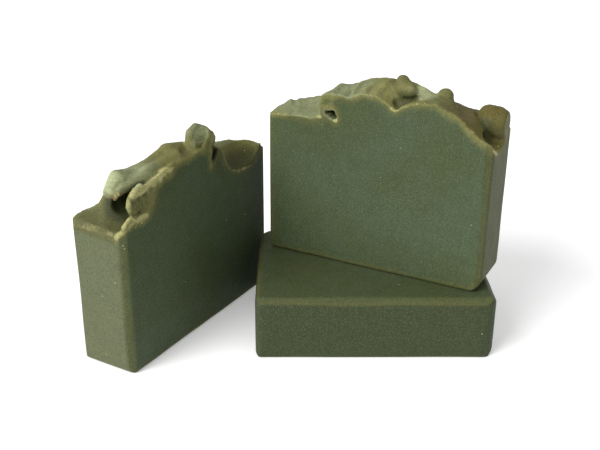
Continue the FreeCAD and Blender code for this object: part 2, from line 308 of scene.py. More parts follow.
def shape_upper_top(bar):
    """The upper bar: a low left flap, a long fold over a hollow, a peak, a side knob and an end knob."""
    along = (0, 4, 9, 13, 17, 20, 23, 26, 30, 33.5, 38, 44, 48, 50.7, 54, 60, 66, 71, 75, 78, 81, 84, 87)
    stations = (0, 4, 8, 12, 16, 20, 24)
    heights = (
        (55.3, 55.9, 56.6, 56.3, 56.5, 56.7, 60.5, 66.5, 66.9, 66.2, 68.3, 67.9, 65.9, 63.6, 65.6, 67.8,
         67.7, 65.9, 64.3, 61.5, 59.0, 57.3, 56.0),
        (56.0, 57.2, 57.8, 57.8, 58.2, 58.8, 61.6, 65.4, 66.6, 66.0, 68.4, 68.9, 67.0, 65.6, 66.4, 68.2,
         67.9, 65.5, 63.6, 61.4, 58.8, 55.5, 53.2),
        (56.6, 58.6, 59.8, 59.9, 60.8, 61.6, 63.8, 66.4, 68.2, 68.2, 70.9, 71.8, 71.2, 70.3, 69.5, 69.0,
         68.6, 65.4, 63.4, 61.6, 59.2, 55.6, 52.2),
        (56.2, 58.2, 60.0, 60.6, 61.2, 62.2, 64.6, 67.0, 68.6, 68.6, 71.5, 72.0, 71.4, 70.3, 69.2, 68.2,
         67.8, 65.4, 63.8, 62.2, 60.4, 57.0, 52.6),
        (55.0, 56.8, 58.6, 59.5, 60.2, 61.0, 63.4, 65.4, 67.2, 67.6, 69.2, 69.8, 69.3, 68.6, 67.6, 66.4,
         65.6, 64.0, 63.0, 61.6, 60.4, 58.8, 55.0),
        (53.8, 55.4, 57.2, 58.2, 59.0, 59.8, 61.2, 62.8, 65.0, 65.8, 67.0, 67.8, 67.3, 66.8, 66.0, 65.0,
         63.8, 62.6, 62.2, 61.6, 60.8, 60.0, 57.0),
        (53.0, 54.8, 56.3, 57.1, 57.8, 58.3, 59.3, 60.8, 62.3, 63.3, 64.3, 65.1, 65.1, 64.8, 64.1, 63.3,
         61.8, 60.2, 59.2, 59.2, 59.4, 59.0, 56.0))
    bar.pour(stations, along, heights, 0.7)
    # the long fold, rolled over a torn hole at its left end
    bar.lump([(25.5, -3, 61.9, 5.1), (25.5, 1.8, 61.7, 4.9), (26.8, 4.6, 62.4, 2.8)], 0.6)
    bar.groove([(24.3, -2, 59.2, 1.0), (24.6, 4.5, 59.4, 0.9)], 0.2)
    bar.groove([(26.4, -2, 58.9, 1.5), (26.2, 5.0, 58.8, 1.1)], 0.2)
    bar.groove([(27.6, -2, 57.6, 0.9), (27.2, 3.0, 58.0, 0.8)], 0.2)
    bar.add(bar.ellipsoid((25.3, 0.6, 60.6), (0.7, 0.9, 0.6), 30), 0.2)
    bar.add(bar.ellipsoid((25.1, 0.5, 57.5), (0.9, 0.8, 0.5), -20), 0.2)
    bar.groove([(21.2, -1, 57.3, 0.3), (20.6, 3.0, 58.6, 0.5), (20.8, 7.0, 60.8, 0.3)], 0.4)
    # low mounds on the left flap
    bar.lump([(4.6, 9.8, 57.0, 2.2), (7.2, 7.6, 58.0, 2.2)], 1.2)
    bar.lump([(12.6, 9.4, 58.4, 2.6), (18.5, 8.5, 59.6, 2.9)], 1.2)
    bar.crease([(9.4, 1.0, 56.6), (8.4, 5, 59.0), (6.0, 10, 59.6), (4.9, 12, 59.0)], 1.3, 0.8)
    bar.crease([(4.0, 2.0, 57.0), (9.0, 5.0, 59.2), (17.0, 5.0, 59.6)], 0.4, 0.9)
    bar.crease([(13.5, 3.5, 58.6), (19.0, 7.5, 61.4), (20.0, 11, 61.8)], 0.5, 0.9)
    # folds on the ridge: a valley, then diagonal wrinkles
    bar.lump([(25.6, 5.0, 65.2, 1.9), (25.4, 10.0, 65.8, 2.0)], 1.4)
    bar.crease([(33.3, -1, 66.3), (31.6, 4, 67.8), (30.2, 8, 68.4), (28.4, 12, 68.0)], 1.3, 0.9)
    bar.crease([(28.0, 3.0, 67.4), (26.6, 7.0, 67.8)], 0.35, 0.8)
    bar.lump([(34.2, 3.4, 67.0, 1.4), (34.6, 7.5, 69.0, 1.5), (37.5, 11.0, 69.6, 1.5)], 1.0)
    bar.crease([(34.8, 2.2, 67.6), (35.4, 6.0, 69.8), (36.6, 9.5, 71.2)], 0.8, 0.7)
    bar.lump([(38.2, 3.0, 68.2, 1.3), (40.4, 7.0, 69.8, 1.4), (42.5, 10.5, 70.4, 1.4)], 1.0)
    bar.crease([(40.2, 1.6, 68.4), (40.6, 5.0, 70.4), (43.4, 9.5, 72.0)], 0.9, 0.7)
    bar.crease([(36.6, 4.0, 69.4), (39.6, 7.6, 71.2), (39.8, 10.5, 71.6)], 0.6, 0.6)
    bar.lump([(42.8, 3.0, 68.0, 1.4), (44.2, 7.0, 70.0, 1.5)], 1.0)
    # the peak: a rounded boulder that hangs over a dark trough
    bar.groove([(50.3, -1, 65.0, 0.9), (52.0, 3.0, 65.4, 1.9), (57.0, 5.0, 67.6, 1.6),
                (61.5, 7.6, 69.4, 1.2)], 0.5)
    bar.lump([(48.4, 8.6, 69.2, 2.6), (50.4, 8.4, 72.5, 1.6)], 0.6)
    bar.add(bar.ellipsoid((51.9, 6.8, 69.8), (4.6, 3.0, 3.2), -18), 1.0)
    bar.add(bar.ellipsoid((51.0, 7.4, 71.4), (2.6, 2.6, 3.0)), 1.2)
    bar.lump([(52.4, 8.6, 71.6, 1.3), (56.6, 9.2, 69.6, 1.6), (60.5, 10.4, 67.6, 1.4)], 0.6)
    bar.groove([(50.4, 3.6, 65.8, 1.5), (53.4, 4.4, 66.2, 1.7), (56.6, 6.0, 67.2, 1.2)], 0.35)
    bar.crease([(47.6, 2.6, 68.6), (48.4, 5.0, 71.0), (47.2, 8.5, 72.0)], 1.0, 0.7)
    bar.crease([(54.6, 6.2, 71.2), (56.6, 7.2, 70.2), (59.6, 8.6, 69.2)], 0.6, 0.7)
    # the side knob and the ridge that runs down from it
    bar.lump([(64.0, 11.4, 65.4, 3.7), (65.3, 11.4, 67.9, 3.0)], 0.7)
    bar.lump([(66.8, 9.6, 66.4, 2.2), (72.0, 4.0, 63.4, 1.8)], 1.0)
    bar.crease([(60.6, 5.0, 69.2), (63.4, 6.6, 69.0), (66.4, 4.8, 68.4)], 0.6, 0.8)
    # the end knob, its underside and the torn dip in front of it
    bar.cut(bar.ellipsoid((87.6, 8.8, 57.4), (7.0, 7.4, 5.4)), 0.3)
    bar.add(bar.ellipsoid((81.8, 16.4, 60.2), (6.0, 5.6, 5.5)), 0.6)
    bar.add(bar.ellipsoid((84.0, 15.6, 59.4), (4.6, 4.6, 5.2)), 1.4)
    bar.add(bar.ellipsoid((79.2, 17.6, 60.6), (3.4, 3.6, 4.2)), 1.2)
    bar.groove([(77.4, 12.0, 59.4, 0.7), (79.0, 10.2, 57.6, 1.0), (82.6, 9.6, 55.8, 1.2)], 0.3)
    bar.crease([(83.0, 16.0, 66.0), (84.2, 12.0, 63.0), (83.6, 10.6, 59.0)], 0.35, 1.2)
    bar.crease([(77.0, 15.5, 64.0), (76.8, 12.0, 61.6), (78.4, 9.8, 58.6)], 0.8, 0.9)
    bar.stain("tint", ((79, 0, 61), (15, 5, 9), 0.42), ((23.0, 0, 65.0), (6, 5, 5.0), 1.0),
              ((38, 0, 68), (14, 5, 4), 0.4), ((2, 0, 40), (7, 4, 30), 0.5))
    bar.stain("sage", ((22, 8, 62), (26, 14, 12), 1.0), ((27, 6, 67.5), (7, 6, 5), 1.0))
    # painted shade: the trough under the peak, under the end knob, on the peak and knobs, and lighter on the
    # flap
    bar.stain("painted_shade", ((12, 8, 60), (12, 9, 5), 0.22), ((53.5, 4.2, 67.4), (4.5, 3, 3.2), 0.8),
              ((80.0, 11.0, 58.5), (4, 3.4, 4), 0.9), ((67, 8, 67), (9, 9, 5), 0.45),
              ((50, 8, 72), (5, 5, 5), 0.42), ((84, 13, 57.5), (7, 3.6, 2.6), 0.6))
    bar.stain("brown", ((76, 12, 62), (14, 14, 8), 1.0), ((84, 16, 60), (9, 9, 9), 1.0))
    # partly pale ash, partly painted light: the peak's right slope and the dip's floor made lighter
    bar.stain("ash_and_painted_light", ((57.5, 7.5, 69.2), (3.5, 3, 2.5), 0.45), ((59.4, 8, 69), (4.4, 5, 3), 0.8),
              ((83.5, 6.5, 55.5), (3.5, 3, 2), 0.5))
    bar.stain("ember", ((75.5, 8, 62), (5, 5, 3), 0.34), ((86.0, 7.0, 54.6), (4.4, 4, 2.6), 1.0))
    # painted shade in the torn hole under the fold
    bar.stain("deep_shade", ((25.6, 2.5, 58.8), (4.0, 3.0, 2.4), 0.45))
    bar.stain("pale", ((50.8, 0, 64.2), (2.2, 1.6, 1.1), 0.6), ((53.5, 0, 65.6), (3.0, 1.2, 0.8), 0.5),
              ((58, 0, 67.4), (4, 1.2, 0.8), 0.4), ((79, 0, 60.6), (3.5, 1.2, 1.2), 0.5),
              ((44, 0, 67.8), (6, 1.4, 1.2), 0.35), ((28.2, 0, 56.6), (1.1, 1.2, 0.9), 0.8),
              ((21.5, 0, 57.2), (1.6, 1.2, 0.8), 0.6), ((4.5, 0, 55.9), (1.4, 1.2, 0.8), 0.6),
              ((59, 3.0, 68.3), (3, 2, 2), 0.45), ((86.5, 6, 53.0), (2.0, 5, 2.0), 0.35),
              ((87, 5, 53.2), (3.0, 4, 1.8), 0.9), ((84, 7, 56), (4.5, 2.5, 1.6), 0.5))
    bar.roughen(0.22, 6.0, 31)
    bar.roughen(0.07, 2.2, 32)


def shape_standing_top(bar):
    """The standing bar: an open hollow at its near end, a long swept fold, a tall curl and a scooped bowl."""
    along = (0, 1.5, 3, 6, 9, 12, 15, 18, 22, 26, 30, 34, 38, 42, 45, 48, 51, 54, 57, 60, 63, 67, 71, 75, 81,
             85, 87)
    stations = (0, 4, 8, 12, 16, 20, 24)
    heights = (
        (55.0, 55.8, 56.5, 58.0, 58.6, 60.0, 64.5, 66.4, 68.2, 69.3, 70.4, 70.4, 70.4, 70.6, 71.4, 70.8,
         70.0, 69.4, 68.8, 68.0, 67.5, 67.0, 66.5, 66.0, 64.5, 62.5, 60.0),
        (52.0, 54.4, 54.2, 54.8, 56.0, 60.0, 65.5, 67.2, 68.6, 69.6, 71.2, 71.8, 72.0, 72.2, 72.4, 72.0,
         71.6, 70.5, 69.6, 68.8, 68.0, 67.3, 66.8, 66.2, 64.8, 62.8, 60.5),
        (52.2, 54.6, 54.6, 56.0, 60.0, 64.6, 67.0, 67.6, 67.8, 68.4, 70.0, 72.0, 72.5, 72.4, 72.4, 72.2,
         71.8, 71.0, 70.0, 69.0, 68.2, 67.2, 66.4, 65.6, 63.6, 62.4, 60.5),
        (52.6, 55.0, 55.3, 57.8, 63.6, 67.4, 68.4, 68.4, 68.2, 68.0, 68.4, 70.0, 71.0, 71.2, 71.4, 71.2,
         70.8, 70.0, 69.0, 68.0, 67.0, 66.0, 65.0, 64.2, 62.6, 61.5, 59.5),
        (53.0, 55.5, 55.8, 57.8, 61.4, 64.4, 65.4, 65.6, 64.8, 65.2, 65.4, 66.2, 67.4, 68.6, 69.2, 69.2,
         69.0, 68.4, 67.6, 66.8, 66.0, 65.0, 64.0, 63.0, 61.5, 60.0, 58.5),
        (53.4, 55.8, 56.2, 57.0, 57.2, 57.6, 58.4, 60.5, 63.0, 64.0, 64.0, 64.3, 65.0, 66.2, 66.8, 67.0,
         66.8, 66.2, 65.5, 65.0, 64.2, 63.4, 62.6, 61.8, 60.4, 59.0, 57.5),
        (53.2, 55.0, 55.5, 55.8, 55.9, 55.8, 55.6, 56.5, 60.0, 61.5, 61.8, 62.0, 62.3, 62.8, 63.0, 63.3,
         63.5, 63.3, 63.0, 62.7, 62.2, 61.8, 61.2, 60.5, 59.4, 58.0, 56.5))
    bar.pour(stations, along, heights, 0.7)
    # the swept fold behind the near end, rolled over at its tip, and the lower fold along it
    bar.lump([(4.9, 8.0, 66.8, 2.3), (8.9, 8.2, 70.5, 2.8), (17.2, 9.0, 68.4, 3.1), (26.0, 9.0, 68.4, 3.3),
              (33.0, 9.0, 69.5, 3.6)], 1.6)
    bar.lump([(6.2, 5.6, 66.6, 1.3), (13.6, 5.6, 68.2, 2.0), (21.0, 5.4, 69.0, 2.4), (28.0, 4.8, 69.6, 2.6),
              (35.5, 4.0, 70.4, 2.6)], 1.4)
    bar.crease([(5.9, 6.2, 68.7), (10.5, 6.2, 70.7), (15.0, 6.4, 71.5), (23.1, 6.4, 72.0)], 0.45, 0.6)
    bar.crease([(12.4, 2.8, 67.4), (17.7, 2.8, 68.4), (24.4, 2.6, 68.6), (32.9, 2.4, 69.2),
                (38.7, 1.8, 70.0)], 0.45, 0.5)
    bar.cut(bar.ellipsoid((2.6, 7.2, 67.4), (0.9, 1.4, 1.0)), 0.3)
    bar.lump([(4.6, 5.8, 64.9, 0.6), (4.4, 5.8, 66.8, 0.8)], 0.3)
    bar.crease([(3.0, 7.4, 71.2), (4.4, 6.0, 69.6), (5.0, 5.0, 67.4)], 0.5, 0.6)
    # the ridge mound
    bar.lump([(36.6, 8.0, 70.4, 4.4), (42.7, 6.0, 70.0, 4.0)], 1.0)
    bar.crease([(33.8, 2.4, 70.6), (39.5, 3.2, 72.6), (43.0, 2.6, 73.4)], 0.7, 0.9)
    # the tall curl, folded to the right over the split
    bar.lump([(43.4, 3.6, 72.0, 2.4), (43.4, 3.4, 77.6, 1.7), (46.0, 3.0, 79.0, 1.7),
              (50.1, 2.3, 76.9, 1.8), (53.6, 1.5, 73.4, 1.8), (53.0, 1.3, 71.6, 1.5)], 0.8)
    bar.add(bar.ellipsoid((48.0, 4.4, 73.0), (5.2, 2.4, 5.6)), 0.9)
    bar.lump([(48.3, -1.0, 66.0, 3.0), (49.6, 0.4, 72.6, 2.4)], 1.0)
    bar.cut(bar.ellipsoid((47.2, 1.4, 76.0), (3.1, 2.8, 2.5), -36), 0.4)
    bar.crease([(41.0, 1.4, 72.2), (44.0, 1.4, 73.4), (46.8, 1.0, 73.6)], 0.6, 0.7)
    # the split beside it and the post
    bar.groove([(54.5, -1.5, 70.6, 2.2), (53.3, -1.0, 67.6, 1.5), (50.4, -0.6, 62.8, 0.3)], 0.25)
    bar.groove([(55.1, 2.5, 70.6, 1.9), (53.7, 2.0, 67.2, 1.4), (51.4, 1.2, 63.8, 0.3)], 0.25)
    bar.groove([(55.6, 6.5, 70.6, 1.2), (54.2, 5.5, 67.6, 0.8)], 0.25)
    # the scooped bowl
    bar.cut(bar.ellipsoid((72.6, -3.0, 69.4), (14.6, 11.0, 13.9)), 0.5)
    # the hollow under the folds, the lobe over the front lip and its recessed face
    bar.lump([(6.4, 1.0, 60.4, 1.1), (5.9, 1.0, 62.6, 1.4), (6.8, 1.1, 64.6, 1.4), (9.6, 1.3, 66.4, 1.5),
              (12.4, 1.5, 67.2, 1.6)], 0.5)
    bar.lump([(8.8, 1.0, 61.8, 2.6), (11.4, 0.8, 63.0, 3.4), (15.5, 1.0, 63.0, 4.2)], 0.6)
    bar.lump([(11.0, 0.6, 65.8, 1.2), (17.0, 0.8, 67.2, 1.2), (24.0, 0.9, 68.8, 1.1),
              (30.0, 0.8, 70.2, 0.9)], 0.6)
    bar.groove([(5.0, 7.4, 61.6, 3.2), (10.4, 7.6, 61.4, 3.6), (14.6, 7.6, 61.2, 2.8)], 0.6)
    bar.groove([(3.4, 4.2, 60.6, 2.0), (7.4, 4.8, 60.2, 2.1), (11.0, 5.4, 60.6, 1.8)], 0.4)
    bar.cut(bar.ellipsoid((10.6, -2.6, 61.8), (8.2, 3.2, 6.0)), 0.15)
    bar.groove([(5.0, -0.4, 60.2, 0.9), (9.3, -0.4, 59.2, 0.9), (14.0, -0.6, 58.6, 0.5)], 0.2)
    bar.lump([(-0.2, 0.2, 53.6, 1.5), (2.6, 0.2, 56.4, 1.5), (5.2, 0.2, 57.9, 1.5),
              (6.4, 0.2, 57.0, 1.2)], 0.3)
    bar.lump([(7.4, 0.0, 56.2, 1.0), (9.6, 0.0, 56.4, 1.0), (11.6, 0.0, 56.6, 1.1),
              (14.6, 0.0, 54.2, 1.0)], 0.3)
    for u, w in ((7.2, 63.6), (10.2, 64.3), (13.3, 64.7), (16.6, 65.8), (20.4, 66.9), (25.6, 68.3)):
        bar.cut(bar.ellipsoid((u, 0.0, w), (1.5, 1.1, 0.8), 20), 0.2)
    bar.stain("tint", ((4, 0, 55), (13, 5, 9), 1.0), ((27, 0, 68), (17, 5, 7), 0.7),
              ((86, 0, 56), (7, 4, 20), 0.4), ((50, 0, 71), (6, 4, 5), 1.0))
    bar.stain("sage", ((14, 7, 69), (14, 8, 8), 0.7), ((47, 2, 79), (8, 5, 4), 0.6))
    # partly pale ash, partly painted light: a painted highlight on the fold's tip, lighter paint on the facet
    # band, inside the curl and on the bowl's back rim
    bar.stain("ash_and_painted_light", ((5.0, 8, 70.5), (5, 5, 3.6), 1.0), ((13, 6.5, 69.5), (11, 4, 4), 0.58),
              ((17, 1.6, 68.2), (9, 2.2, 2.6), 1.0), ((47.6, 3, 76.4), (4.0, 4, 3.2), 1.0),
              ((43.4, 4, 74.0), (1.6, 3, 2.2), 0.9), ((54, 1, 73), (3, 4, 3), 0.4),
              ((73, 9, 67), (14, 6, 2.8), 0.55))
    # painted shade: the hollow under the folds, the slope below it, the bowl, the lower fold's crease and the
    # recessed lobe face, lighter on the ridge mound
    bar.stain("painted_shade", ((30, 6, 71.5), (7, 5, 4), 0.14), ((38, 7, 72), (7, 6, 6), 0.22),
              ((14, 4.6, 67.0), (10, 1.5, 1.5), 0.5), ((9, 8, 60), (10, 7, 6), 1.0),
              ((2, 11, 55.5), (11, 13, 5), 0.75), ((73, 0, 58), (13, 8, 6), 0.9),
              ((11.0, 0, 62), (5.6, 2, 4.0), 0.45))
    # painted shade, darkest: the hollow under the folds and the split beside the curl
    bar.stain("deep_shade", ((10.6, 7.6, 60.6), (5.8, 6, 5.6), 1.0), ((53.8, 2, 67.4), (2.8, 6, 5), 1.0))
    bar.stain("pale", ((10, 0.4, 66.4), (4.5, 2.5, 1.7), 0.95), ((17, 0.6, 67.6), (6, 2.5, 1.7), 0.95),
              ((24, 0.6, 69.2), (6, 2.5, 1.4), 0.8), ((5.0, 1.5, 63.0), (1.1, 2.5, 3.4), 0.5),
              ((4.4, 0.2, 57.0), (3.6, 2, 2.6), 1.0), ((10.6, 0.2, 56.8), (3.8, 1.4, 1.7), 0.9),
              ((1.0, 1.0, 53.5), (2.4, 3, 2.4), 0.7), ((0.6, 12, 54.5), (1.5, 14, 2), 0.42),
              ((4.6, 5.4, 66.4), (1.0, 2, 1.6), 0.8))
    bar.stain("ember", ((6.0, 5.6, 65.4), (3.2, 3, 1.5), 1.0))
    bowl_rim = ((58.6, 61.0), (61.5, 58.6), (65, 56.7), (69, 55.8), (73, 55.4), (77, 55.1), (80.5, 55.0))
    bar.stain("pale", *[((u, 0, w), (2.6, 1.0, 0.9), 0.55) for u, w in bowl_rim])
    bar.roughen(0.20, 6.0, 41)
    bar.roughen(0.06, 2.4, 42)


def shape_lying_top(bar):
    """The lying bar: a row of swept folds with two knobs."""
    along = (0, 3, 7, 12, 18, 24, 30, 36, 42, 48, 54, 60, 66, 72, 78, 83, 88)
    stations = (0, 6, 12, 18, 24)
    heights = (
        (57.7, 61.5, 64.0, 66.2, 67.4, 69.4, 69.8, 68.4, 67.2, 66.6, 67.8, 69.4, 68.6, 66.4, 63.6, 61.0,
         58.2),
        (57.4, 61.8, 65.4, 68.2, 70.0, 69.2, 70.2, 71.0, 69.4, 67.8, 67.6, 69.4, 70.2, 68.4, 64.6, 61.6,
         58.8),
        (57.7, 61.6, 66.0, 69.4, 70.6, 69.0, 69.4, 71.6, 71.4, 69.8, 67.6, 68.4, 70.8, 70.0, 65.4, 62.0,
         59.0),
        (57.4, 60.8, 64.4, 67.8, 70.8, 70.0, 68.6, 69.8, 71.4, 70.8, 69.2, 68.0, 68.8, 68.2, 64.4, 61.2,
         58.5),
        (56.7, 59.6, 62.6, 65.4, 68.2, 69.2, 68.8, 68.4, 69.4, 70.0, 69.7, 68.4, 66.8, 64.8, 61.8, 59.6,
         57.5))
    bar.pour(stations, along, heights, 0.9)
    bar.lump([(12.0, 16.0, 65.5, 3.0), (20.0, 13.0, 67.6, 3.6), (27.0, 7.0, 67.0, 3.2)], 1.2)
    bar.lump([(34.0, 20.0, 66.4, 3.0), (41.0, 14.0, 69.0, 3.2), (50.0, 10.0, 67.6, 2.6)], 1.2)
    bar.lump([(58.0, 18.0, 66.0, 3.0), (65.0, 12.0, 68.0, 3.8), (72.0, 5.0, 65.4, 2.8)], 1.2)
    bar.groove([(28.0, 22.0, 72.0, 1.8), (33.0, 14.0, 72.4, 2.4), (40.0, 6.0, 72.6, 2.4)], 1.2)
    bar.groove([(50.0, 24.0, 71.6, 1.8), (55.0, 15.0, 71.0, 2.8), (60.0, 4.0, 71.4, 2.2)], 1.2)
    bar.crease([(17.0, 22.0, 68.0), (24.0, 15.0, 70.5), (31.0, 5.0, 69.8)], 1.0, 0.9)
    bar.crease([(62.0, 23.0, 66.0), (70.0, 14.0, 70.0), (76.0, 3.0, 65.0)], 1.0, 0.9)
    bar.roughen(0.18, 6.0, 51)
    bar.roughen(0.06, 2.4, 52)


# ---------------------------------------------------------------- materials

class Signal:
    """A shader socket that takes part in Python arithmetic."""

    def __init__(self, recipe, socket):
        self.recipe, self.socket = recipe, socket

    def _math(self, operation, a, b):
        return self.recipe.node("ShaderNodeMath", {"operation": operation}, {0: a, 1: b})

    def __add__(self, other):
        return self._math("ADD", self, other)

    def __sub__(self, other):
        return self._math("SUBTRACT", self, other)

    def __rsub__(self, other):
        return self._math("SUBTRACT", other, self)

    def __mul__(self, other):
        return self._math("MULTIPLY", self, other)

    def __truediv__(self, other):
        return self._math("DIVIDE", self, other)

    __radd__ = __add__
    __rmul__ = __mul__

    def between(self, low, high):
        """0 at low and below, 1 at high and above, eased in between."""
        return self.recipe.node("ShaderNodeMapRange", {"interpolation_type": "SMOOTHSTEP", "clamp": True},
                                {"Value": self, "From Min": low, "From Max": high,
                                 "To Min": 0.0, "To Max": 1.0}, "Result")


class Recipe:
    """A material's node tree, built one ingredient at a time."""

    def __init__(self, name):
        self.material = bpy.data.materials.new(name)
        self.material.use_nodes = True
        self.tree = self.material.node_tree
        self.tree.nodes.clear()

    def node(self, kind, settings=None, values=None, output=0):
        """Any node: its settings first, then the values or links of its sockets. Returns one output."""
        made = self.tree.nodes.new(kind)
        for key, value in (settings or {}).items():
            setattr(made, key, value)
        for key, value in (values or {}).items():
            if isinstance(value, Signal):
                self.tree.links.new(value.socket, made.inputs[key])
            else:
                made.inputs[key].default_value = value
        return Signal(self, made.outputs[output]) if made.outputs else None

    def attribute(self, name):
        """A value that the mesh carries at its points."""
        return self.node("ShaderNodeAttribute", {"attribute_name": name}, {}, "Fac")

    def noise(self, place, size, detail=3.0, roughness=0.55):
        """Noise whose lumps are about size mm wide."""
        return self.node("ShaderNodeTexNoise", {}, {"Vector": place, "Scale": 1000.0 / size, "Detail": detail,
                                                    "Roughness": roughness}, "Fac")

    def mix(self, share, first, second):
        """One colour into another."""
        return self.node("ShaderNodeMix", {"data_type": "RGBA"}, {0: share, 6: first, 7: second}, 2)


def look_colour(look, pigment):
    """One of the shared colours, opaque."""
    return (*getattr(look, f"{pigment}_colour"), 1)


def soap_material(name, look, size, shift):
    """Waxy cold-process soap: green inside, a yellower rind, pale torn rims, fine grain and specks of ash,
    with painted shade in dips, hollows and under folds and painted light on some folds.
    """
    recipe = Recipe(name)

    def lay(share, under, pigment):
        return recipe.mix(share, under, look_colour(look, pigment))

    place = recipe.node("ShaderNodeTexCoord", {}, {}, "Object")
    place = recipe.node("ShaderNodeMapping", {}, {"Vector": place, "Location": shift})
    depth, top, crest, along, shelter = (recipe.attribute(key) for key in
                                         ("skin_depth", "top_depth", "crest", "along", "shelter"))
    sage, ash_and_painted_light, brown, ember, painted_shade, deep_shade, pale, tint = (recipe.attribute(kind) for kind in PAINTS)
    clouds = recipe.noise(place, 26.0, 3.0, 0.55)
    mottle = recipe.noise(place, 5.0, 4.0, 0.62)
    grain = recipe.noise(place, 0.7, 2.0, 0.65)
    fine = recipe.noise(place, 0.45, 1.0, 0.6)
    core = lay(clouds.between(0.35, 0.65), look_colour(look, "core"), "cool")
    side_rind = 1.0 - (depth + (clouds - 0.5) * 2.0).between(0.1, 3.4)
    colour = lay(side_rind * 0.8, core, "rind")
    top_rind = 1.0 - (top / (along * 2.4 + tint * 2.2 + 0.8) + (mottle - 0.5) * 0.7).between(0.1, 1.0)
    colour = lay(top_rind * (tint * (0.85 - size.rind) + size.rind), colour, "crown")
    colour = lay(depth.between(0.5, 3.0) * size.glow, colour, "rind")
    mould_side = (1.0 - depth.between(0.15, 0.9)) * top.between(0.8, 2.0)
    colour = lay(mould_side * size.shade, colour, "shade")
    colour = lay(mould_side * (mottle * 0.7 + 0.6) * size.ash, colour, "ash")
    crown = 1.0 - top.between(0.1, 1.0)
    fresh = lay((sage + (mottle - 0.5) * 0.5).between(0.1, 0.9), look_colour(look, "crown"), "sage")
    fresh = lay((brown + (mottle - 0.5) * 0.4).between(0.1, 0.9), fresh, "brown")
    # painted shade: dips in the top take the darker hollow colour
    dip = 1.0 - crest.between(-1.3, -0.2)
    fresh = lay(dip * 0.6, fresh, "hollow")
    # partly pale ash, partly painted light
    fresh = lay((ash_and_painted_light + (mottle - 0.5) * 0.3).between(0.05, 0.95), fresh, "ash_and_painted_light")
    fresh = lay((ember + (mottle - 0.5) * 0.6).between(0.1, 0.8), fresh, "ember")
    # painted shade patches
    fresh = lay(painted_shade, fresh, "painted_shade")
    # painted shade deep in hollows, held back where painted light is laid
    fresh = lay(shelter.between(0.9, 2.4) * (1.0 - ash_and_painted_light), fresh, "deep_shade")
    # painted shade placed deep under folds
    fresh = lay(deep_shade, fresh, "deep_shade")
    colour = recipe.mix(crown, colour, fresh)
    rim = crest.between(0.7, 1.4) * (1.0 - top.between(0.3, 1.3))
    colour = lay(rim * 0.15, colour, "ash")
    torn = (pale + (mottle - 0.5) * 0.9 + (grain - 0.5) * 0.6).between(0.35, 0.75)
    torn = torn * (1.0 - top.between(0.4, 1.6))
    colour = lay(torn * 0.92, colour, "pale")
    colour = lay(mottle.between(0.40, 0.75) * 0.2, colour, "shade")
    colour = lay(grain.between(0.35, 0.75) * 0.40, colour, "shade")
    # less pale grain where the deep painted shade lies
    colour = lay(fine.between(0.45, 0.75) * (0.20 - deep_shade * 0.17), colour, "ash")
    specks = recipe.noise(place, 0.9, 1.0, 0.5).between(0.74, 0.80)
    colour = lay(specks * 0.15, colour, "ash")
    height = mottle * 0.25 + grain * 0.12 + recipe.noise(place, 1.6, 2.0, 0.5) * 0.2
    bump = recipe.node("ShaderNodeBump", {}, {"Strength": 0.35, "Distance": 0.0006, "Height": height},
                       "Normal")
    rough = 0.50 + mottle * 0.16
    shader = recipe.node("ShaderNodeBsdfPrincipled", {}, {
        "Base Color": colour, "Roughness": rough, "Normal": bump, "Subsurface Weight": look.waxiness,
        "Subsurface Radius": (1.0, 0.9, 0.5), "Subsurface Scale": 0.0015, "Specular IOR Level": SHEEN})
    recipe.node("ShaderNodeOutputMaterial", {}, {"Surface": shader})
    return recipe.material


def crumb_material(name, look):
    """Crumbs of torn soap, paler than the rest."""
    recipe = Recipe(name)
    place = recipe.node("ShaderNodeTexCoord", {}, {}, "Object")
    mottle = recipe.noise(place, 2.0, 2.0, 0.5)
    colour = recipe.mix(mottle.between(0.4, 0.7), look_colour(look, "pale"), look_colour(look, "ash"))
    shader = recipe.node("ShaderNodeBsdfPrincipled", {}, {
        "Base Color": colour, "Roughness": 0.6 + mottle * 0.1, "Specular IOR Level": SHEEN})
    recipe.node("ShaderNodeOutputMaterial", {}, {"Surface": shader})
    return recipe.material


def floor_material(colour):
    recipe = Recipe("white_paper")
    paper = recipe.node("ShaderNodeBsdfDiffuse", {}, {"Color": (*colour, 1)})
    glow = recipe.node("ShaderNodeEmission", {}, {"Color": (1, 1, 1, 1), "Strength": FLOOR_GLOW})
    shader = recipe.node("ShaderNodeAddShader", {}, {0: paper, 1: glow})
    recipe.node("ShaderNodeOutputMaterial", {}, {"Surface": shader})
    return recipe.material


# ---------------------------------------------------------------- settings

def pigment(name, description, default):
    return FloatVectorProperty(name=name, description=description, subtype="COLOR", size=3, default=default,
                               min=0, max=1)


def measure(name, description, default, least):
    return FloatProperty(name=name, description=description, default=default, min=least)


def part(name, description, default, most=1):
    return FloatProperty(name=name, description=description, subtype="FACTOR", default=default,
                         min=0, max=most)


